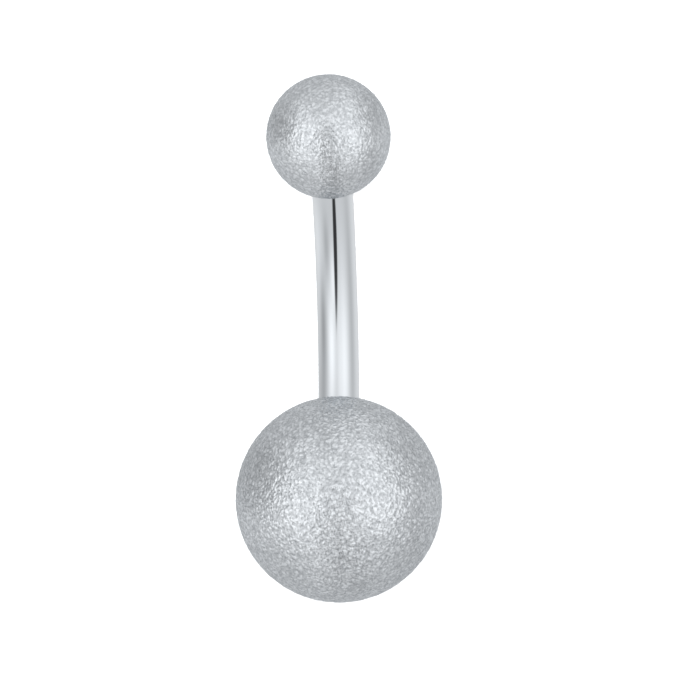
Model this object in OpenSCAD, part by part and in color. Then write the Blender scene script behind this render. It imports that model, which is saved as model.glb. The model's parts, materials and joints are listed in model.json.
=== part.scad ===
// Curved barbell for a navel piercing: a bent, polished bar with a frosted
// ball screwed on each end. It is drawn as it lies on a table, resting on both
// balls and on the back of its bend.

/* [Bar] */
// Diameter of the bar, 14 gauge
bar_d = 1.6; // [1.4:0.1:2.4]
// Length of the bar between the two balls, measured along its bend
bar_length = 10; // [6:0.5:14]
// Radius of the bend, to the middle of the bar
bend_r = 7.3; // [6:0.1:12]

/* [Balls] */
// Diameter of the small upper ball
upper_ball_d = 4.8; // [4:0.1:6]
// Diameter of the large lower ball
lower_ball_d = 8; // [6:0.1:10]
// How far the flat seat at a ball's hole reaches past the bar's edge
seat_margin = 0.1; // [0.05:0.05:0.2]

/* [Screw tips] */
// Diameter of the thread on each tip, drawn plain at its outside
tip_d = 1.2; // [0.8:0.1:1.2]
// Length of each tip, from the bar's shoulder to its end
tip_length = 2.2; // [1.5:0.1:2.4]
// Bevel at the free end of each tip
tip_bevel = 0.15; // [0.05:0.05:0.25]
// Countersink at the mouth of each ball's hole
mouth_bevel = 0.05; // [0.02:0.01:0.06]
// Drilled depth left free past the end of a tip
drill_spare = 0.3; // [0.1:0.1:0.5]

/* [Clearances] */
// Gap all round a tip in its hole
tip_clearance = 0.02; // [0.01:0.01:0.04]
// Gap between the bar's shoulder and a ball's seat
seat_gap = 0.02; // [0.01:0.01:0.05]

/* [Hidden] */
$fn = 96;

POLISHED = "#d3d6d9";
FROSTED = "#c4c8cb";
DRILL_POINT = 118;
UPPER = 1;
LOWER = -1;
// Each ball's turn about its own tip, in degrees. A ball is round, so the turn
// only shifts the seam and facets of its surface, and a mesh of the ball then
// stands on the middle of a facet and not on an edge between two.
BALL_TURN = 2.8;

bar_r = bar_d / 2;
tip_r = tip_d / 2;
upper_r = upper_ball_d / 2;
lower_r = lower_ball_d / 2;
seat_r = bar_r + seat_margin;
hole_r = tip_r + tip_clearance;
half_bend = bar_length / 2 / bend_r * 180 / PI;

// The barbell's own plane: x runs along the bar's middle to the upper ball,
// and y points out of the back of the bend. The bar's middle is at the origin.
bend_centre = [0, -bend_r, 0];

function bar_end(side) = bend_centre + bend_r * [side * sin(half_bend), cos(half_bend), 0];
function bar_heading(side) = [side * cos(half_bend), -sin(half_bend), 0];
function seat_height(ball_r) = sqrt(ball_r ^ 2 - seat_r ^ 2);
function ball_centre(side, ball_r) =
    bar_end(side) + bar_heading(side) * (seat_gap + seat_height(ball_r));

// How it lies: the line through the ball centres sinks towards the smaller
// ball, and the barbell rolls about that line until the bar meets the table.
upper_centre = ball_centre(UPPER, upper_r);
lower_centre = ball_centre(LOWER, lower_r);
span = norm(upper_centre - lower_centre);
line = (upper_centre - lower_centre) / span;
across = [-line.y, line.x, 0];
line_angle = atan2(line.y, line.x);

// The table's upward direction has the share line_rise along the ball line and
// bend_rise across it. The bent bar's lowest point is one bar radius up when
//   reach + bend_rise * offset.y = bend_r * sqrt(line_rise^2 + bend_rise^2),
// which is a quadratic in bend_rise.
line_rise = (upper_r - lower_r) / span;
offset = [(bend_centre - lower_centre) * line, (bend_centre - lower_centre) * across];
reach = line_rise * offset.x + lower_r - bar_r;
quad_a = offset.y ^ 2 - bend_r ^ 2;
quad_b = 2 * reach * offset.y;
quad_c = reach ^ 2 - (bend_r * line_rise) ^ 2;
bend_rise = (-quad_b + sqrt(quad_b ^ 2 - 4 * quad_a * quad_c)) / (2 * quad_a);

// A bar too straight to reach the table hangs straight down between the balls.
steepest = sqrt(1 - line_rise ^ 2);
roll_angle = asin(min(1, -bend_rise / steepest));
sink_angle = asin(-line_rise);
middle_x = (span * cos(sink_angle) + upper_r - lower_r) / 2;

// Sets the barbell down on the table, with the middle of its length at x = 0.
module lie_down() {
    translate([-middle_x, 0, lower_r])
        rotate([0, sink_angle, 0])
            rotate([-roll_angle, 0, 0])
                rotate([0, 0, -line_angle])
                    translate(-lower_centre)
                        children();
}

// Puts children at a bar end: z = 0 is the bar's shoulder, and z runs outwards.
module at_bar_end(side) {
    heading = bar_heading(side);
    translate(bar_end(side))
        rotate([0, 90, atan2(heading.y, heading.x)])
            children();
}

// A screw tip, rooted inside the bar so that the two are one solid.
module screw_tip() {
    root = bar_r / 2;
    translate([0, 0, -root])
        cylinder(r = tip_r, h = root + tip_length - tip_bevel);
    translate([0, 0, tip_length - tip_bevel])
        cylinder(r1 = tip_r, r2 = tip_r - tip_bevel, h = tip_bevel);
}

// The bent bar with both screw tips.
module curved_bar() {
    color(POLISHED) lie_down() {
        translate(bend_centre)
            rotate([0, 0, 90 - half_bend])
                rotate_extrude(angle = 2 * half_bend)
                    translate([bend_r, 0])
                        circle(r = bar_r);
        for (side = [UPPER, LOWER])
            at_bar_end(side) screw_tip();
    }
}

// The blind hole that a screw tip fills, with a drilled point and a bevelled mouth.
module tip_hole() {
    depth = tip_length - seat_gap + drill_spare;
    cylinder(r = hole_r, h = depth);
    translate([0, 0, depth])
        cylinder(r1 = hole_r, r2 = 0, h = hole_r / tan(DRILL_POINT / 2));
    cylinder(r1 = hole_r + mouth_bevel, r2 = hole_r, h = mouth_bevel);
}

// One ball on its bar end: a sphere with a flat seat around its hole.
module frosted_ball(side, ball_r) {
    color(FROSTED) lie_down() at_bar_end(side)
        translate([0, 0, seat_gap]) rotate([0, 0, BALL_TURN])
            difference() {
                translate([0, 0, seat_height(ball_r)])
                    sphere(r = ball_r);
                translate([0, 0, -ball_r])
                    cylinder(r = ball_r, h = ball_r);
                tip_hole();
            }
}

module upper_ball() {
    frosted_ball(UPPER, upper_r);
}

module lower_ball() {
    frosted_ball(LOWER, lower_r);
}

curved_bar();
upper_ball();
lower_ball();
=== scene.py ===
"""Navel ring: a curved barbell with a frosted steel ball screwed on each end.

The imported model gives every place. Its mount says where the middle of the bar is
and how long and thick the bar is, and its two joints say which way the ends of
the bar point. Each class below models one sub-assembly at those places. Sizes
are in millimetres and angles in degrees, unless a docstring says otherwise.
"""

import json
import logging
import math
from collections.abc import Callable
from dataclasses import dataclass
from enum import Enum, IntEnum

import bmesh
import bpy
from bmesh.types import BMEdge, BMesh
from bpy.types import Collection, Material, Node, NodeSocket, NodeTree, Object
from mathutils import Matrix, Vector, noise


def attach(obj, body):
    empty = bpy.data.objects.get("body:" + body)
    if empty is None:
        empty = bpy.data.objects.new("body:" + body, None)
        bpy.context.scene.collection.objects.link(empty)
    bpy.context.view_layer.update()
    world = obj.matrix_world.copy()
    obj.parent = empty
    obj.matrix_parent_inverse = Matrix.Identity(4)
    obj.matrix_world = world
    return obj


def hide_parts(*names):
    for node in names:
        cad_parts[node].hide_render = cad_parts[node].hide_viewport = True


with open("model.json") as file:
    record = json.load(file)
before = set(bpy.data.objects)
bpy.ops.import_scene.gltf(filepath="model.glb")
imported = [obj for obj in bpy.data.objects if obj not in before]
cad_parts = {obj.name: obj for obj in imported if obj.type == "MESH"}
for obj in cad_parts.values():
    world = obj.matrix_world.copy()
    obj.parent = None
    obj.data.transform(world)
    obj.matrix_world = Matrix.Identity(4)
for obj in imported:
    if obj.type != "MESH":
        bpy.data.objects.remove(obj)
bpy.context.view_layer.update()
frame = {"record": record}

MM = 0.001
# Corners that are nearer to each other than this become one.
MERGE_MM = 0.0005
# The swirl in the frosting has a fixed seed, so that every run makes the same skin.
SWIRL_SEED = 14
# The angle at which a circle of bmesh has its first corner, in radians.
CIRCLE_START = math.tau / 4
LOG = logging.getLogger("navel_ring")


class End(Enum):
    """The two ends of the bar, each named as its ball's body."""

    UPPER = "upper"
    LOWER = "lower"


class CutSlot(IntEnum):
    """The material slots of cut faces, after slot 0 with the piece's main finish."""

    TURNED = 1
    # The slot of the hole's wall, whose finish is painted dark as painted shade.
    HOLE_SHADE = 2


@dataclass(frozen=True)
class BentAxis:
    """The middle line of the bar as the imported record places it, in the row frame.

    Args:
        middle: the middle of the bar.
        along: the direction of the bar at its middle, to the upper ball.
        back: the direction out of the back of the bend.
        length: the length between the bar's shoulders, along the bend.
        half_bend: half the angle that the bar bends through, in radians.
        bar_r: the radius of the bar.
    """

    middle: Vector
    along: Vector
    back: Vector
    length: float
    half_bend: float
    bar_r: float

    @classmethod
    def from_record(cls, record: dict) -> "BentAxis":
        """Reads the bar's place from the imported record.

        Args:
            record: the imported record.

        Returns:
            The bar's middle line.
        """
        mount = next(m for m in record["mounts"] if m["name"] == "piercing")
        slides = {j["child"]: Vector(j["axis"]).normalized() for j in record["behaviour"]["joints"]}
        spread = slides[End.UPPER.value] + slides[End.LOWER.value]
        return cls(
            middle=Vector(mount["pos_m"]) / MM,
            along=(slides[End.UPPER.value] - slides[End.LOWER.value]).normalized(),
            back=-spread.normalized(),
            length=mount["dims"]["length_mm"],
            half_bend=math.asin(spread.length / 2),
            bar_r=mount["dims"]["r_mm"],
        )

    @property
    def normal(self) -> Vector:
        """The direction square to the plane of the bend."""
        return self.along.cross(self.back)

    @property
    def bend_r(self) -> float:
        """The radius of the bend, to the middle of the bar."""
        return self.length / 2 / self.half_bend

    @property
    def centre(self) -> Vector:
        """The centre of the bend."""
        return self.middle - self.bend_r * self.back

    def angle_of(self, place: Vector) -> float:
        """The angle of a place round the bend from the bar's middle, in radians."""
        arm = place - self.centre
        return math.atan2(arm.dot(self.along), arm.dot(self.back))

    def at_angle(self, angle: float) -> Matrix:
        """Places a frame on the middle line, with z along the line to the upper ball.

        Args:
            angle: the angle from the bar's middle round the bend, in radians.

        Returns:
            The matrix from that frame to the row frame, with x out of the back of
            the bend and y square to its plane.
        """
        out = math.sin(angle) * self.along + math.cos(angle) * self.back
        heading = math.cos(angle) * self.along - math.sin(angle) * self.back
        turn = Matrix((out, self.normal, heading)).transposed()
        return Matrix.Translation(self.centre + self.bend_r * out) @ turn.to_4x4()

    def at_end(self, end: End) -> Matrix:
        """Places a frame on a shoulder of the bar, with z pointing out of that end.

        Args:
            end: the end of the bar.

        Returns:
            The matrix from that frame to the row frame.
        """
        if end is End.UPPER:
            return self.at_angle(self.half_bend)
        return self.at_angle(-self.half_bend) @ Matrix.Rotation(math.pi, 4, "X")


AXIS = BentAxis.from_record(frame["record"])


def linear(hex_colour: str) -> tuple[float, float, float, float]:
    """Turns an sRGB hex colour into the linear RGBA of a shader socket.

    Args:
        hex_colour: a colour such as "#c4c8cb".

    Returns:
        The colour as red, green, blue and alpha, in linear light.
    """
    shares = [int(hex_colour[i : i + 2], 16) / 255 for i in (1, 3, 5)]
    light = [s / 12.92 if s <= 0.04045 else ((s + 0.055) / 1.055) ** 2.4 for s in shares]
    return (*light, 1.0)


def add_node(
    tree: NodeTree,
    kind: str,
    settings: dict[str, object] | None = None,
    inputs: dict[str | int, object] | None = None,
) -> Node:
    """Adds a node to a tree with its settings and links.

    Args:
        tree: the node tree that gets the node.
        kind: the kind of node, such as ShaderNodeTexNoise.
        settings: attributes of the node, by name.
        inputs: a value or an output socket for each named or numbered input.

    Returns:
        The new node.
    """
    node = tree.nodes.new(kind)
    for name, value in (settings or {}).items():
        setattr(node, name, value)
    for name, value in (inputs or {}).items():
        if isinstance(value, NodeSocket):
            tree.links.new(value, node.inputs[name])
        else:
            node.inputs[name].default_value = value
    return node


def new_material(name: str) -> tuple[Material, NodeTree, Node]:
    """Makes an empty node material.

    Args:
        name: the name of the finish.

    Returns:
        The material, its node tree and its output node.
    """
    material = bpy.data.materials.new(name)
    material.use_nodes = True
    tree = material.node_tree
    tree.nodes.clear()
    return material, tree, add_node(tree, "ShaderNodeOutputMaterial")


def per_mm(wavelength: float) -> float:
    """The scale of a pattern on Object coordinates that repeats over a size in mm."""
    return 1 / (wavelength * MM)


@dataclass(frozen=True)
class PolishedSteel:
    """Surgical steel, drawn to a rod, bent and buffed to a mirror.

    The eye sees clear reflections, softened a little by buffing marks that run
    along the rod.

    Args:
        name: the material's name.
        colour: the colour of the metal.
        roughness: the roughness between the deepest marks and the smoothest places.
        roughness_spread: how much rougher or smoother the marks make it.
        mark_width: the width of a buffing mark.
        mark_length: the length of a mark.
        mark_depth: the depth of a mark.
    """

    name: str = "mirror_polished_steel"
    colour: str = "#d3d6d9"
    roughness: float = 0.05
    roughness_spread: float = 0.02
    # Real buffing marks are about 0.005 mm wide, so they are drawn coarser to show.
    mark_width: float = 0.06
    mark_length: float = 1.2
    mark_depth: float = 0.00004

    def material(self) -> Material:
        """Makes the polished steel, with marks that follow the rod's own UV map.

        Returns:
            The material.
        """
        material, tree, output = new_material(self.name)
        rod = add_node(tree, "ShaderNodeUVMap", {"uv_map": "rod_mm"})
        stretch = (1 / self.mark_width, 1 / self.mark_length, 1)
        marks = add_node(
            tree, "ShaderNodeMapping", inputs={"Vector": rod.outputs["UV"], "Scale": stretch}
        )
        grain = add_node(
            tree,
            "ShaderNodeTexNoise",
            inputs={"Vector": marks.outputs["Vector"], "Scale": 1.0, "Detail": 2.0},
        )
        roughness = add_node(
            tree,
            "ShaderNodeMapRange",
            inputs={
                "Value": grain.outputs["Fac"],
                "To Min": self.roughness - self.roughness_spread,
                "To Max": self.roughness + self.roughness_spread,
            },
        )
        bump = add_node(
            tree,
            "ShaderNodeBump",
            inputs={"Height": grain.outputs["Fac"], "Distance": self.mark_depth * MM},
        )
        steel = add_node(
            tree,
            "ShaderNodeBsdfPrincipled",
            inputs={
                "Base Color": linear(self.colour),
                "Metallic": 1.0,
                "Roughness": roughness.outputs["Result"],
                "Normal": bump.outputs["Normal"],
            },
        )
        tree.links.new(steel.outputs["BSDF"], output.inputs["Surface"])
        return material


@dataclass(frozen=True)
class FrostedSteel:
    """Surgical steel, struck all over with a fine point until it sparkles like frost.

    The eye sees a soft grey shine broken into small bright and dark flecks, as
    the sides of each pebble in the skin reflect the lights another way. The fine
    grooves between the pebbles are painted darker than the tops, as painted shade
    in the hollows.

    Args:
        name: the material's name.
        groove_shade_colour: the colour in the grooves between the pebbles, darker as painted shade.
        top_colour: the colour of the pebbles' tops.
        edge_tint: the tint of the reflections near the rim.
        roughness: the roughness between the dullest and the brightest flecks.
        roughness_spread: how much rougher or smoother the flecks make it.
        fleck: the width of a fleck.
        fleck_depth: the depth of a fleck.
        groove_level: the level, pebble and fleck added up, where the painted groove shade begins to
            fade.
        top_level: the level where the painted groove shade has faded to the colour of the tops.
    """

    name: str = "pebbled_steel"
    # The grooves' colour is darker than the tops' as painted shade in the hollows between the
    # pebbles.
    groove_shade_colour: str = "#a2a5a8"
    top_colour: str = "#d4d7da"
    edge_tint: str = "#f0f2f4"
    roughness: float = 0.25
    roughness_spread: float = 0.05
    # Real flecks are about 0.03 mm wide, so they are drawn coarser to show.
    fleck: float = 0.1
    fleck_depth: float = 0.04
    groove_level: float = 0.5
    top_level: float = 1.3

    def material(self) -> Material:
        """Makes the frosted steel, shaded by the pebbles in the mesh, with its grooves painted
        darker as painted shade.

        Returns:
            The material.
        """
        material, tree, output = new_material(self.name)
        place = add_node(tree, "ShaderNodeTexCoord")
        pebble = add_node(tree, "ShaderNodeAttribute", {"attribute_name": "pebble"})
        flecks = add_node(
            tree,
            "ShaderNodeTexNoise",
            inputs={
                "Vector": place.outputs["Object"],
                "Scale": per_mm(self.fleck),
                "Detail": 1.0,
            },
        )
        # The pebble and fleck levels set the painted groove shade: the lower the level, the darker
        # the colour.
        painted_shade_level = add_node(
            tree,
            "ShaderNodeMath",
            {"operation": "ADD"},
            {0: pebble.outputs["Fac"], 1: flecks.outputs["Fac"]},
        )
        colour = add_node(
            tree,
            "ShaderNodeMapRange",
            inputs={
                "Value": painted_shade_level.outputs["Value"],
                "From Min": self.groove_level,
                "From Max": self.top_level,
            },
        )
        # The colours of a mix node have numbered sockets: 6 and 7 in, and 2 out.
        shade = add_node(
            tree,
            "ShaderNodeMix",
            {"data_type": "RGBA"},
            {
                0: colour.outputs["Result"],
                6: linear(self.groove_shade_colour),
                7: linear(self.top_colour),
            },
        )
        roughness = add_node(
            tree,
            "ShaderNodeMapRange",
            inputs={
                "Value": flecks.outputs["Fac"],
                "To Min": self.roughness + self.roughness_spread,
                "To Max": self.roughness - self.roughness_spread,
            },
        )
        bump = add_node(
            tree,
            "ShaderNodeBump",
            inputs={"Height": flecks.outputs["Fac"], "Distance": self.fleck_depth * MM},
        )
        steel = add_node(
            tree,
            "ShaderNodeBsdfPrincipled",
            inputs={
                "Base Color": shade.outputs[2],
                "Metallic": 1.0,
                "Roughness": roughness.outputs["Result"],
                "Specular Tint": linear(self.edge_tint),
                "Normal": bump.outputs["Normal"],
            },
        )
        tree.links.new(steel.outputs["BSDF"], output.inputs["Surface"])
        return material


@dataclass(frozen=True)
class TurnedSteel:
    """Surgical steel as it is cut, on the shoulders, tips and seats and in the holes.

    The eye sees a cut metal, duller than the polish, with faint tool marks.

    Args:
        name: the material's name.
        colour: the colour of the metal.
        roughness: its roughness.
        tool_mark: the width of a tool mark.
        mark_depth: the depth of a mark.
    """

    name: str = "turned_steel"
    colour: str = "#b9bdc1"
    roughness: float = 0.24
    # Real tool marks are about 0.02 mm wide, so they are drawn coarser to show.
    tool_mark: float = 0.05
    mark_depth: float = 0.0006

    def material(self) -> Material:
        """Makes the cut steel, with tool marks as fine noise.

        Returns:
            The material.
        """
        material, tree, output = new_material(self.name)
        place = add_node(tree, "ShaderNodeTexCoord")
        marks = add_node(
            tree,
            "ShaderNodeTexNoise",
            inputs={
                "Vector": place.outputs["Object"],
                "Scale": per_mm(self.tool_mark),
                "Detail": 2.0,
            },
        )
        bump = add_node(
            tree,
            "ShaderNodeBump",
            inputs={"Height": marks.outputs["Fac"], "Distance": self.mark_depth * MM},
        )
        steel = add_node(
            tree,
            "ShaderNodeBsdfPrincipled",
            inputs={
                "Base Color": linear(self.colour),
                "Metallic": 1.0,
                "Roughness": self.roughness,
                "Normal": bump.outputs["Normal"],
            },
        )
        tree.links.new(steel.outputs["BSDF"], output.inputs["Surface"])
        return material


def edges_of(geometry: list) -> list[BMEdge]:
    """The edges among the parts of a mesh that an operator returned."""
    return [part for part in geometry if isinstance(part, BMEdge)]


def lathe(bm: BMesh, profile: list[tuple[float, float]], sides: int, start: float) -> None:
    """Turns a profile a full turn about z.

    Args:
        bm: the mesh that gets the turned surface.
        profile: the profile's points, as radius and height.
        sides: the number of sides of the turned surface.
        start: the angle at which the first side begins, in radians.
    """
    turn = Matrix.Rotation(start, 3, "Z")
    verts = [bm.verts.new(turn @ Vector((radius, 0, height))) for radius, height in profile]
    edges = [bm.edges.new(pair) for pair in zip(verts, verts[1:])]
    bmesh.ops.spin(
        bm, geom=verts + edges, axis=(0, 0, 1), angle=math.tau, steps=sides, use_merge=True
    )


def cut(bm: BMesh, height: float, upwards: bool) -> list[BMEdge]:
    """Cuts a mesh square to z and takes away what is past the cut.

    Args:
        bm: the mesh.
        height: the height of the cut.
        upwards: whether the part above the cut goes, and not the part below.

    Returns:
        The edges along the cut.
    """
    made = bmesh.ops.bisect_plane(
        bm,
        geom=bm.verts[:] + bm.edges[:] + bm.faces[:],
        dist=MERGE_MM,
        plane_co=(0, 0, height),
        plane_no=(0, 0, 1 if upwards else -1),
        clear_outer=True,
    )
    return edges_of(made["geom_cut"])


@dataclass(frozen=True)
class ScrewThread:
    """A V thread between two heights, wound about z.

    Args:
        inner_r: the radius at the bottom of an outside thread, or of a hole's ridges.
        outer_r: the radius at the crest of an outside thread, or of a hole's grooves.
        pitch: the rise of one turn.
        crest: the flat share of a turn at the outer radius.
        root: the flat share of a turn at the inner radius.
        sides: the sides of one turn.
    """

    inner_r: float
    outer_r: float
    pitch: float = 0.25
    crest: float = 0.125
    root: float = 0.25
    sides: int = 48

    def wind(self, bm: BMesh, low: float, high: float, widest: Callable[[float], float]) -> None:
        """Winds the thread and trims it square at both heights.

        Args:
            bm: an empty mesh, which gets the thread.
            low: the height where the thread starts.
            high: the height where it ends.
            widest: gives the largest radius that the thread may have at a height.
        """
        flank = (1 - self.crest - self.root) / 2
        shares = [0, self.crest, self.crest + flank, 1 - flank, 1]
        radii = [self.outer_r, self.outer_r, self.inner_r, self.inner_r, self.outer_r]
        start = low - self.pitch
        verts = [bm.verts.new((r, 0, start + s * self.pitch)) for r, s in zip(radii, shares)]
        edges = [bm.edges.new(pair) for pair in zip(verts, verts[1:])]
        turns = math.ceil((high - start) / self.pitch) + 1
        bmesh.ops.spin(
            bm,
            geom=verts + edges,
            axis=(0, 0, 1),
            dvec=(0, 0, self.pitch / self.sides),
            angle=math.tau * turns,
            steps=self.sides * turns,
        )
        bmesh.ops.remove_doubles(bm, verts=bm.verts, dist=MERGE_MM)
        for vert in bm.verts:
            radius = vert.co.xy.length
            vert.co.xy *= min(radius, widest(vert.co.z)) / radius
        cut(bm, high, upwards=True)
        cut(bm, low, upwards=False)


def rim_at(bm: BMesh, height: float) -> list[BMEdge]:
    """Finds the open edges of a mesh that lie at one height.

    Args:
        bm: the mesh.
        height: the height.

    Returns:
        The open edges there.
    """
    return [
        edge
        for edge in bm.edges
        if edge.is_boundary and all(abs(v.co.z - height) < MERGE_MM for v in edge.verts)
    ]


def paste(target: BMesh, source: BMesh, placing: Matrix | None = None) -> None:
    """Adds one mesh to another and frees it.

    Args:
        target: the mesh that grows.
        source: the mesh that is added.
        placing: the matrix that the added mesh is placed by.
    """
    if placing is not None:
        bmesh.ops.transform(source, matrix=placing, verts=source.verts)
    carrier = bpy.data.meshes.new("carrier")
    source.to_mesh(carrier)
    source.free()
    target.from_mesh(carrier)
    bpy.data.meshes.remove(carrier)


def finished_piece(name: str, bm: BMesh, placing: Matrix, finishes: list[Material]) -> Object:
    """Turns a mesh in millimetres into a piece at its place in metres.

    Args:
        name: the piece's name.
        bm: the piece's mesh, which is freed.
        placing: the matrix from the mesh's own frame to the row frame, in millimetres.
        finishes: the piece's materials, in the order of its faces' slots.

    Returns:
        The piece, with its object at the origin.
    """
    bmesh.ops.remove_doubles(bm, verts=bm.verts, dist=MERGE_MM)
    bmesh.ops.recalc_face_normals(bm, faces=bm.faces)
    bmesh.ops.transform(bm, matrix=Matrix.Scale(MM, 4) @ placing, verts=bm.verts)
    mesh = bpy.data.meshes.new(name)
    bm.to_mesh(mesh)
    bm.free()
    for finish in finishes:
        mesh.materials.append(finish)
    piece = bpy.data.objects.new(name, mesh)
    bpy.context.scene.collection.objects.link(piece)
    return piece


@dataclass(frozen=True)
class CurvedBar:
    """The bent, polished bar with a screw tip on each end.

    Args:
        axis: the bar's middle line.
        sides: the sides of its round section.
        steps: the steps along its bend.
        shoulder_bevel: the size of the rounded bevel at its shoulders.
        bevel_round: how deep the middle of that bevel lies, as a share of its size.
        tip_r: the radius of a screw tip, over its thread.
        tip_length: the length of a tip, from its shoulder to its end.
        tip_bevel: the bevel at the end of a tip.
        thread_depth: the depth of the thread.
        neck: the length of the thin neck between the shoulder and the thread.
    """

    axis: BentAxis
    sides: int = 72
    steps: int = 96
    shoulder_bevel: float = 0.05
    bevel_round: float = 0.3
    tip_r: float = 0.6
    tip_length: float = 2.2
    tip_bevel: float = 0.15
    thread_depth: float = 0.153
    neck: float = 0.2

    def rod(self) -> BMesh:
        """Spins the bar's round section along the bend, from the lower shoulder up.

        Returns:
            The rod without its shoulders, open at both ends, in the row frame.
        """
        bm = bmesh.new()
        inset = self.shoulder_bevel / self.axis.bend_r
        start = self.axis.at_angle(-self.axis.half_bend + inset)
        bmesh.ops.create_circle(bm, segments=self.sides, radius=self.axis.bar_r, matrix=start)
        bmesh.ops.spin(
            bm,
            geom=bm.verts[:] + bm.edges[:],
            cent=self.axis.centre,
            axis=-self.axis.normal,
            angle=2 * (self.axis.half_bend - inset),
            steps=self.steps,
        )
        return bm

    def widest_tip(self, height: float) -> float:
        """Shapes a tip's neck and bevel.

        Args:
            height: the height above the shoulder.

        Returns:
            The largest radius of the tip at that height.
        """
        thread_floor = self.tip_r - self.thread_depth
        rising = thread_floor + max(0.0, height - self.neck)
        closing = self.tip_r - max(0.0, height - self.tip_length + self.tip_bevel)
        return max(min(rising, closing), thread_floor)

    def tip(self) -> BMesh:
        """Winds a screw tip on its own z axis, with the bar's shoulder round its foot.

        Returns:
            The tip, with the shoulder at z = 0 and open where the rod goes on.
        """
        bm = bmesh.new()
        thread = ScrewThread(inner_r=self.tip_r - self.thread_depth, outer_r=self.tip_r)
        thread.wind(bm, 0.0, self.tip_length, self.widest_tip)
        bmesh.ops.edgeloop_fill(bm, edges=rim_at(bm, self.tip_length))
        for face in bm.faces:
            face.material_index = CutSlot.TURNED
        foot = rim_at(bm, 0.0)
        bar_r = self.axis.bar_r
        deep = self.shoulder_bevel * self.bevel_round
        shoulder = [
            (bar_r - deep, -deep),
            (bar_r - self.shoulder_bevel, 0.0),
            (self.tip_r, 0.0),
        ]
        # The shoulder starts where the rod's circle does, so that their corners meet.
        lathe(bm, shoulder, self.sides, CIRCLE_START)
        inner = [e for e in rim_at(bm, 0.0) if e not in foot]
        bmesh.ops.bridge_loops(bm, edges=foot + inner)
        return bm

    def unroll(self, bm: BMesh) -> None:
        """Gives every face a UV map of the rod laid flat, in millimetres.

        Args:
            bm: the whole bar in the row frame, in millimetres.
        """
        flat = bm.loops.layers.uv.new("rod_mm")
        for face in bm.faces:
            for loop in face.loops:
                angle = self.axis.angle_of(loop.vert.co)
                local = self.axis.at_angle(angle).inverted() @ loop.vert.co
                around = math.atan2(local.y, local.x)
                loop[flat].uv = (around * self.axis.bar_r, angle * self.axis.bend_r)

    def build(self) -> Object:
        """Joins the rod and both tips into one piece and dresses it.

        Returns:
            The curved bar.
        """
        bm = self.rod()
        for end in End:
            paste(bm, self.tip(), self.axis.at_end(end))
        # At each end, a seam joins the rim of the rod to the rim of the shoulder.
        for side in (1, -1):
            seam = [
                edge
                for edge in bm.edges
                if edge.is_boundary and self.axis.angle_of(edge.verts[0].co) * side > 0
            ]
            bmesh.ops.bridge_loops(bm, edges=seam)
        for face in bm.faces:
            face.smooth = True
        self.unroll(bm)
        finishes = [PolishedSteel().material(), TurnedSteel().material()]
        return finished_piece("curved_bar_polished", bm, Matrix(), finishes)


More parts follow.
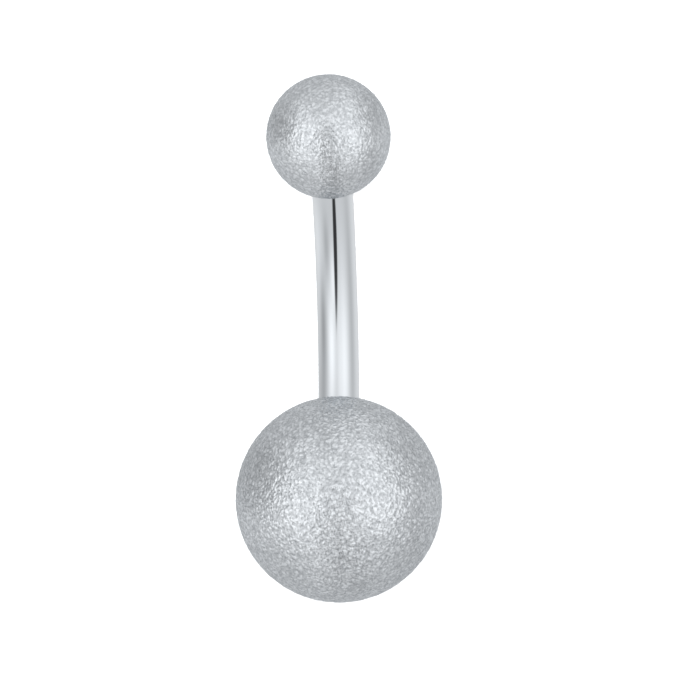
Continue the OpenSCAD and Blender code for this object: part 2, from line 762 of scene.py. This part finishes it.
@dataclass(frozen=True)
class FrostedBall:
    """A ball with a frosted skin, a flat seat and a threaded blind hole.

    Args:
        axis: the bar's middle line.
        end: the end of the bar that the ball is on.
        ball_r: the radius of the ball.
        seed: where in the noise its frosting comes from.
        finish: its finish.
        divisions: the subdivisions of the sphere that it starts as.
        cuts: the cuts in each edge of that sphere.
        seat_margin: how far the seat reaches past the bar's edge.
        seat_gap: the gap between the seat and the bar's shoulder.
        hole_r: the radius of the hole, inside its thread.
        groove: the depth of the thread's grooves.
        hole_depth: the depth of the hole, up to its drilled point.
        drill_point: the angle of the drilled point.
        mouth_bevel: the bevel at the hole's mouth.
        pebble: the width of a pebble in the frosting.
        pebble_height: the height from level 0 to a pebble's top at level 1.
        groove_level: the level of the grooves between the pebbles.
        pebble_rise: how steeply a pebble rises from its groove.
        swirl: how far the pebbles are swirled, as a share of their width.
        sides: the sides of the hole's mouth.
    """

    axis: BentAxis
    end: End
    ball_r: float
    seed: float
    finish: FrostedSteel = FrostedSteel()
    divisions: int = 5
    cuts: int = 5
    seat_margin: float = 0.1
    seat_gap: float = 0.02
    hole_r: float = 0.62
    groove: float = 0.1
    hole_depth: float = 2.48
    drill_point: float = 118.0
    mouth_bevel: float = 0.05
    pebble: float = 0.135
    pebble_height: float = 0.032
    groove_level: float = 0.1
    pebble_rise: float = 1.6
    swirl: float = 0.3
    sides: int = 48

    @property
    def seat_r(self) -> float:
        """The radius of the flat seat."""
        return self.axis.bar_r + self.seat_margin

    @property
    def seat_height(self) -> float:
        """The distance from the seat to the ball's centre."""
        return math.sqrt(self.ball_r**2 - self.seat_r**2)

    def pebble_at(self, direction: Vector) -> float:
        """Works out the level of the frosting at a place on the ball.

        Args:
            direction: the unit vector from the ball's centre to the place.

        Returns:
            The level, which is lowest in a groove and 1 on a pebble's top.
        """
        place = direction * self.ball_r / self.pebble + Vector((self.seed, 0, 0))
        place += noise.noise_vector(place) * self.swirl
        return min(1.0, self.groove_level + self.pebble_rise * abs(noise.noise(place)))

    def skin(self) -> BMesh:
        """Makes the ball's frosted outside, open at its seat.

        Returns:
            The skin, with the seat at z = 0 and the ball above it.
        """
        bm = bmesh.new()
        bmesh.ops.create_icosphere(bm, subdivisions=self.divisions, radius=self.ball_r)
        bmesh.ops.subdivide_edges(bm, edges=bm.edges, cuts=self.cuts, use_grid_fill=True)
        layer = bm.verts.layers.float.new("pebble")
        for vert in bm.verts:
            direction = vert.co.normalized()
            level = self.pebble_at(direction)
            # The frosting fades out towards the seat's edge, over one pebble's width.
            from_seat = (direction.xy * self.ball_r).length - self.seat_r
            beside_seat = direction.z < 0 and from_seat < self.pebble
            fade = max(0.0, from_seat / self.pebble) if beside_seat else 1.0
            # The level goes to the finish, which paints the grooves darker as painted shade.
            vert[layer] = level
            vert.co = direction * (self.ball_r - self.pebble_height * (1 - level) * fade)
        bmesh.ops.translate(bm, vec=(0, 0, self.seat_height), verts=bm.verts)
        cut(bm, 0.0, upwards=False)
        for face in bm.faces:
            face.smooth = True
        return bm

    def widest_hole(self, height: float) -> float:
        """The largest radius of the hole at a height, which ends its thread's grooves."""
        into = max(0.0, min(height - self.mouth_bevel, self.hole_depth - height))
        return self.hole_r + min(into, self.groove)

    def hole(self) -> BMesh:
        """Cuts the hole's wall: a bevelled mouth, a thread and a drilled point.

        Returns:
            The wall, with its mouth open at z = 0 and its point above it.
        """
        bm = bmesh.new()
        thread = ScrewThread(inner_r=self.hole_r, outer_r=self.hole_r + self.groove)
        thread.wind(bm, self.mouth_bevel, self.hole_depth, self.widest_hole)
        floor = bmesh.ops.edgeloop_fill(bm, edges=rim_at(bm, self.hole_depth))["faces"]
        point = bmesh.ops.poke(bm, faces=floor)["verts"][0]
        point.co.z += self.hole_r / math.tan(math.radians(self.drill_point / 2))
        mouth = rim_at(bm, self.mouth_bevel)
        bmesh.ops.create_circle(bm, segments=self.sides, radius=self.hole_r + self.mouth_bevel)
        ring = [e for e in bm.edges if e.is_wire]
        bmesh.ops.bridge_loops(bm, edges=mouth + ring)
        # The hole's wall takes the finish that is painted dark as painted shade.
        for face in bm.faces:
            face.material_index = CutSlot.HOLE_SHADE
        return bm

    def build(self) -> Object:
        """Joins the skin, the seat and the hole into one piece and dresses it.

        Returns:
            The frosted ball.
        """
        bm = self.skin()
        paste(bm, self.hole())
        seat = rim_at(bm, 0.0)
        for face in bmesh.ops.bridge_loops(bm, edges=seat)["faces"]:
            face.material_index = CutSlot.TURNED
        for edge in seat:
            edge.smooth = False
        placing = self.axis.at_end(self.end) @ Matrix.Translation((0, 0, self.seat_gap))
        # The hole's wall is painted dark as painted shade deep in the hole, and it is dull.
        drilled = TurnedSteel("drilled_steel", colour="#45484b", roughness=0.45)
        finishes = [self.finish.material(), TurnedSteel().material(), drilled.material()]
        return finished_piece(f"{self.end.value}_ball_frosted", bm, placing, finishes)


@dataclass(frozen=True)
class PhotoCamera:
    """The camera, at the photograph's angle to the barbell.

    Args:
        distance: the distance to the middle between the ball centres.
        px_per_mm: the photograph's scale there.
        frame_px: the side of the square photograph.
        aim_px: where that middle shows in the photograph, from its top left corner.
        yaw: the turn about the bar's length.
        pitch: the turn about the normal of the bend.
        roll: the turn about the line of sight.
        sensor: the width of the sensor.
        near: the distance at which its view begins.
        far: the distance at which its view ends.
    """

    distance: float = 200.0
    px_per_mm: float = 25.934
    frame_px: float = 700.0
    aim_px: tuple[float, float] = (333.594, 318.491)
    yaw: float = -2.46
    pitch: float = 9.58
    roll: float = -1.82
    sensor: float = 36.0
    near: float = 20.0
    far: float = 20000.0

    def turn(self, axis: BentAxis) -> Matrix:
        """Works out which way the camera faces.

        Args:
            axis: the bar's middle line.

        Returns:
            The camera's axes as columns: to its right, up, and back from the object.
        """
        square = Matrix((-axis.normal, axis.back, axis.along)).transposed()
        own = (
            Matrix.Rotation(math.radians(self.roll), 3, "Y")
            @ Matrix.Rotation(math.radians(self.pitch), 3, "X")
            @ Matrix.Rotation(math.radians(self.yaw), 3, "Z")
        )
        right, forward, up = (square @ row for row in own)
        return Matrix((right, up, -forward)).transposed()

    def place(self, axis: BentAxis, aim: Vector) -> Object:
        """Sets the camera up.

        Args:
            axis: the bar's middle line.
            aim: the middle between the ball centres, in millimetres.

        Returns:
            The camera.
        """
        turn = self.turn(axis)
        across = (self.frame_px / 2 - self.aim_px[0]) / self.px_per_mm
        rise = (self.aim_px[1] - self.frame_px / 2) / self.px_per_mm
        spot = aim + turn @ Vector((across, rise, self.distance))
        data = bpy.data.cameras.new("camera")
        data.sensor_width = self.sensor
        data.lens = self.sensor * self.distance * self.px_per_mm / self.frame_px
        data.clip_start = self.near * MM
        data.clip_end = self.far * MM
        camera = bpy.data.objects.new("camera", data)
        camera.matrix_world = Matrix.Translation(spot * MM) @ turn.to_4x4()
        bpy.context.scene.collection.objects.link(camera)
        bpy.context.scene.camera = camera
        return camera


@dataclass(frozen=True, kw_only=True)
class Patch:
    """A round or oval patch on the wall of the tent.

    A patch is placed by the tilt of a mirror at the object that shows it to the
    camera, and fades from its middle outwards.

    Args:
        right: the mirror's tilt to the right.
        above: the mirror's tilt upwards.
        width: the tilt across over which the patch fades.
        height: the tilt upwards over which it fades.
        lean: the turn of its top to the left.
        crispness: how suddenly it fades, from 1 for an even blur.
    """

    right: float
    above: float
    width: float
    height: float
    lean: float = 0.0
    crispness: float = 1.0

    def share(self, tree: NodeTree, tilt: NodeSocket) -> NodeSocket:
        """Works out how much of the patch a place on the wall has.

        Args:
            tree: the world's node tree.
            tilt: the mirror's tilt, to the right and upwards in degrees.

        Returns:
            The share, from 1 in the patch's middle to 0 outside it.
        """
        away = add_node(
            tree,
            "ShaderNodeMapping",
            {"vector_type": "TEXTURE"},
            {
                "Vector": tilt,
                "Location": (self.right, self.above, 0),
                "Rotation": (0, 0, math.radians(self.lean)),
                "Scale": (self.width, self.height, 1),
            },
        ).outputs["Vector"]
        squared = add_node(
            tree, "ShaderNodeVectorMath", {"operation": "DOT_PRODUCT"}, {0: away, 1: away}
        )
        steep = add_node(
            tree,
            "ShaderNodeMath",
            {"operation": "POWER"},
            {0: squared.outputs["Value"], 1: self.crispness},
        )
        falling = add_node(
            tree, "ShaderNodeMath", {"operation": "MULTIPLY"}, {0: steep.outputs["Value"], 1: -1.0}
        )
        share = add_node(
            tree, "ShaderNodeMath", {"operation": "EXPONENT"}, {0: falling.outputs["Value"]}
        )
        return share.outputs["Value"]


@dataclass(frozen=True, kw_only=True)
class Glow(Patch):
    """A patch of light or shade on the wall.

    Args:
        gain: what it adds to the wall's brightness, where white paper is 1.
    """

    gain: float

    def add(self, tree: NodeTree, tilt: NodeSocket, light: NodeSocket | float) -> NodeSocket:
        """Adds the glow to the wall's brightness.

        Args:
            tree: the world's node tree.
            tilt: the mirror's tilt, to the right and upwards in degrees.
            light: the wall's brightness without the glow.

        Returns:
            The wall's brightness with the glow.
        """
        total = add_node(
            tree,
            "ShaderNodeMath",
            {"operation": "MULTIPLY_ADD"},
            {0: self.share(tree, tilt), 1: self.gain, 2: light},
        )
        return total.outputs["Value"]


@dataclass(frozen=True, kw_only=True)
class Slit(Patch):
    """The slit in the wall under the lens, which the bar mirrors as a dark line.

    Args:
        gloom: the share of the wall's brightness that is missing in it.
    """

    gloom: float

    def cut(self, tree: NodeTree, tilt: NodeSocket, light: NodeSocket) -> NodeSocket:
        """Darkens the wall where the slit is.

        Args:
            tree: the world's node tree.
            tilt: the mirror's tilt, to the right and upwards in degrees.
            light: the wall's brightness without the slit.

        Returns:
            The wall's brightness with the slit.
        """
        left = add_node(
            tree,
            "ShaderNodeMath",
            {"operation": "MULTIPLY_ADD"},
            {0: self.share(tree, tilt), 1: -self.gloom, 2: 1.0},
        )
        total = add_node(
            tree, "ShaderNodeMath", {"operation": "MULTIPLY"}, {0: light, 1: left.outputs["Value"]}
        )
        return total.outputs["Value"]


@dataclass(frozen=True)
class Lamp:
    """A round soft lamp that faces the object.

    Args:
        name: its name.
        right: how far it hangs to the right of the camera.
        above: how far it hangs above the camera.
        half_angle: half the angle that it spans at the object.
        light: how bright it makes white paper that faces it.
        distance: its distance from the object.
        mirrored: whether metal shows its reflection.
    """

    name: str
    right: float
    above: float
    half_angle: float
    light: float
    distance: float = 200.0
    mirrored: bool = True

    def hang(self, turn: Matrix, aim: Vector, lit: Collection | None = None) -> Object:
        """Hangs the lamp.

        Args:
            turn: the camera's axes.
            aim: the middle of the object, in millimetres.
            lit: the pieces that it lights, or none for the whole scene.

        Returns:
            The lamp.
        """
        reach = self.distance * MM
        data = bpy.data.lights.new(self.name, "AREA")
        data.shape = "DISK"
        data.size = 2 * reach * math.tan(math.radians(self.half_angle))
        # A small disk lamp of power P at a distance d lights white paper by P / (pi d)^2.
        data.energy = self.light * (math.pi * reach) ** 2
        swing = Matrix.Rotation(math.radians(self.right), 3, "Y")
        lift = Matrix.Rotation(math.radians(-self.above), 3, "X")
        facing = turn @ swing @ lift
        spot = aim * MM + facing @ Vector((0, 0, reach))
        lamp = bpy.data.objects.new(self.name, data)
        lamp.matrix_world = Matrix.Translation(spot) @ facing.to_4x4()
        lamp.visible_camera = False
        lamp.visible_glossy = self.mirrored
        lamp.light_linking.receiver_collection = lit
        bpy.context.scene.collection.objects.link(lamp)
        return lamp


@dataclass(frozen=True)
class Studio:
    """The pale floor, the white tent all round and the lamps.

    Args:
        floor_colour: the colour of the floor.
        floor_size: the side of the square floor.
        wall_colour: the colour of the tent's wall.
        wall_light: the wall's brightness outside every glow, where white paper is 1.
        glows: the patches of light and shade on the wall.
        floor_lamp: the small lamp at the camera, which keeps the floor white.
        ball_lamps: the lamps that light the balls alone.
        slit: the dark slit in the wall.
    """

    floor_colour: str = "#f4f5f6"
    floor_size: float = 3000.0
    wall_colour: str = "#fbfcfd"
    wall_light: float = 0.86
    glows: tuple[Glow, ...] = (
        Glow(right=17, above=16, width=14, height=33, gain=0.57),
        Glow(right=-18.5, above=10, width=11.5, height=21, gain=0.63),
        Glow(right=-9, above=-14, width=7, height=11, gain=0.38),
        Glow(right=2, above=16, width=7, height=24, gain=0.19),
        Glow(right=-23, above=30, width=10, height=10, gain=0.12),
        Glow(right=-45, above=0, width=11, height=17, gain=-0.34),
        Glow(right=-48, above=30, width=12, height=18, gain=-0.24),
        Glow(right=-25, above=-26, width=9, height=12, gain=-0.24),
        Glow(right=-56, above=-26, width=18, height=20, gain=0.24),
        Glow(right=-66, above=24, width=12, height=16, gain=-0.12),
        Glow(right=42, above=0, width=10, height=60, gain=-0.16),
        Glow(right=64, above=-5, width=14, height=45, gain=0.16),
    )
    floor_lamp: Lamp = Lamp(
        "lamp_at_camera", right=0, above=0, half_angle=3, light=2.2, mirrored=False
    )
    ball_lamps: tuple[Lamp, ...] = (
        Lamp("left_lamp", right=-55, above=-18, half_angle=31, light=0.17),
        Lamp("right_lamp", right=56, above=-8, half_angle=31, light=0.14),
        Lamp("lower_lamp", right=0, above=-70, half_angle=31, light=0.11),
        Lamp("front_lamp", right=4, above=-34, half_angle=12, light=0.034),
    )
    slit: Slit = Slit(
        right=1.7, above=-28, width=5.2, height=31, lean=11, crispness=4, gloom=0.94
    )

    def floor(self) -> Object:
        """Lays the floor that the object rests on.

        The metal reflects the tent's own wall in its place, as it does on a
        table of clear glass over the tent's white base.

        Returns:
            The floor.
        """
        material, tree, output = new_material("white_paper_floor")
        paper = add_node(
            tree, "ShaderNodeBsdfDiffuse", inputs={"Color": linear(self.floor_colour)}
        )
        tree.links.new(paper.outputs["BSDF"], output.inputs["Surface"])
        bm = bmesh.new()
        bmesh.ops.create_grid(bm, x_segments=1, y_segments=1, size=self.floor_size * MM / 2)
        mesh = bpy.data.meshes.new("floor")
        bm.to_mesh(mesh)
        bm.free()
        mesh.materials.append(material)
        floor = bpy.data.objects.new("floor", mesh)
        floor.visible_glossy = False
        bpy.context.scene.collection.objects.link(floor)
        return floor

    def tilt(self, tree: NodeTree, turn: Matrix) -> NodeSocket:
        """Works out which mirror shows the camera a place on the tent's wall.

        Args:
            tree: the world's node tree.
            turn: the camera's axes.

        Returns:
            The mirror's tilt to the right and upwards, in degrees.
        """
        towards = add_node(tree, "ShaderNodeTexCoord").outputs["Generated"]
        parts = [
            add_node(
                tree, "ShaderNodeVectorMath", {"operation": "DOT_PRODUCT"}, {0: towards, 1: side}
            )
            for side in turn.transposed()
        ]
        right, up, back = (part.outputs["Value"] for part in parts)
        facing = add_node(tree, "ShaderNodeMath", {"operation": "ADD"}, {0: back, 1: 1.0})
        half = add_node(
            tree, "ShaderNodeCombineXYZ", inputs={"X": right, "Y": up, "Z": facing.outputs["Value"]}
        )
        mirror = add_node(
            tree, "ShaderNodeVectorMath", {"operation": "NORMALIZE"}, {0: half.outputs["Vector"]}
        )
        sides = add_node(tree, "ShaderNodeSeparateXYZ", inputs={"Vector": mirror.outputs["Vector"]})
        across = add_node(tree, "ShaderNodeMath", {"operation": "ARCSINE"}, {0: sides.outputs["X"]})
        rise = add_node(
            tree,
            "ShaderNodeMath",
            {"operation": "ARCTAN2"},
            {0: sides.outputs["Y"], 1: sides.outputs["Z"]},
        )
        radians = add_node(
            tree,
            "ShaderNodeCombineXYZ",
            inputs={"X": across.outputs["Value"], "Y": rise.outputs["Value"]},
        )
        degrees = add_node(
            tree,
            "ShaderNodeVectorMath",
            {"operation": "SCALE"},
            {0: radians.outputs["Vector"], "Scale": math.degrees(1)},
        )
        return degrees.outputs["Vector"]

    def tent(self, turn: Matrix) -> None:
        """Surrounds the object with the tent's softly lit white wall.

        Args:
            turn: the camera's axes.
        """
        world = bpy.data.worlds.new("white_tent")
        world.use_nodes = True
        tree = world.node_tree
        tree.nodes.clear()
        tilt = self.tilt(tree, turn)
        light = self.wall_light
        for glow in self.glows:
            light = glow.add(tree, tilt, light)
        wall = add_node(
            tree,
            "ShaderNodeBackground",
            inputs={
                "Color": linear(self.wall_colour),
                "Strength": self.slit.cut(tree, tilt, light),
            },
        )
        output = add_node(tree, "ShaderNodeOutputWorld")
        tree.links.new(wall.outputs["Background"], output.inputs["Surface"])
        bpy.context.scene.world = world

    def build(self, turn: Matrix, aim: Vector, balls: list[Object]) -> None:
        """Sets up the floor and the lights.

        The polished bar mirrors the tent alone, as if it had been lit by itself, so
        the balls are kept out of reflections. They have four lamps of their own: one
        for each of the two soft highlights on their frosting, and two that fill in
        the front and the underside.

        Args:
            turn: the camera's axes.
            aim: the middle of the object, in millimetres.
            balls: the frosted balls.
        """
        self.floor()
        self.tent(turn)
        self.floor_lamp.hang(turn, aim)
        frosted = bpy.data.collections.new("frosted")
        for ball in balls:
            frosted.objects.link(ball)
            ball.visible_glossy = False
        for lamp in self.ball_lamps:
            lamp.hang(turn, aim, frosted)
        bpy.context.scene.view_settings.view_transform = "Standard"


def main() -> None:
    """Builds every piece, the studio and the camera."""
    logging.basicConfig(level=logging.INFO, format="%(name)s: %(message)s")
    noise.seed_set(SWIRL_SEED)
    # The upper ball's finer frosting also paints its grooves darker as painted shade.
    finer = FrostedSteel(
        "pebbled_steel_fine", groove_shade_colour="#a9acaf", top_colour="#d3d6d9", fleck_depth=0.032
    )
    upper = FrostedBall(
        AXIS, End.UPPER, ball_r=2.4, seed=31.0, finish=finer, cuts=3, pebble_height=0.021
    )
    lower = FrostedBall(AXIS, End.LOWER, ball_r=4.0, seed=7.0)
    pieces = (
        (CurvedBar(AXIS).build(), "bar", "curved_bar", "polished_steel"),
        (upper.build(), "upper", "upper_ball", "frosted_steel"),
        (lower.build(), "lower", "lower_ball", "frosted_steel"),
    )
    for piece, body, node, slot in pieces:
        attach(piece, body)
        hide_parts(node)
        LOG.info("%s rides on %s, %d faces", piece.name, body, len(piece.data.polygons))
    centres = [
        AXIS.at_end(ball.end) @ Vector((0, 0, ball.seat_gap + ball.seat_height))
        for ball in (upper, lower)
    ]
    aim = (centres[0] + centres[1]) / 2
    camera = PhotoCamera()
    camera.place(AXIS, aim)
    Studio().build(camera.turn(AXIS), aim, [piece for piece, body, *_ in pieces if body != "bar"])


if __name__ == "__main__":
    main()
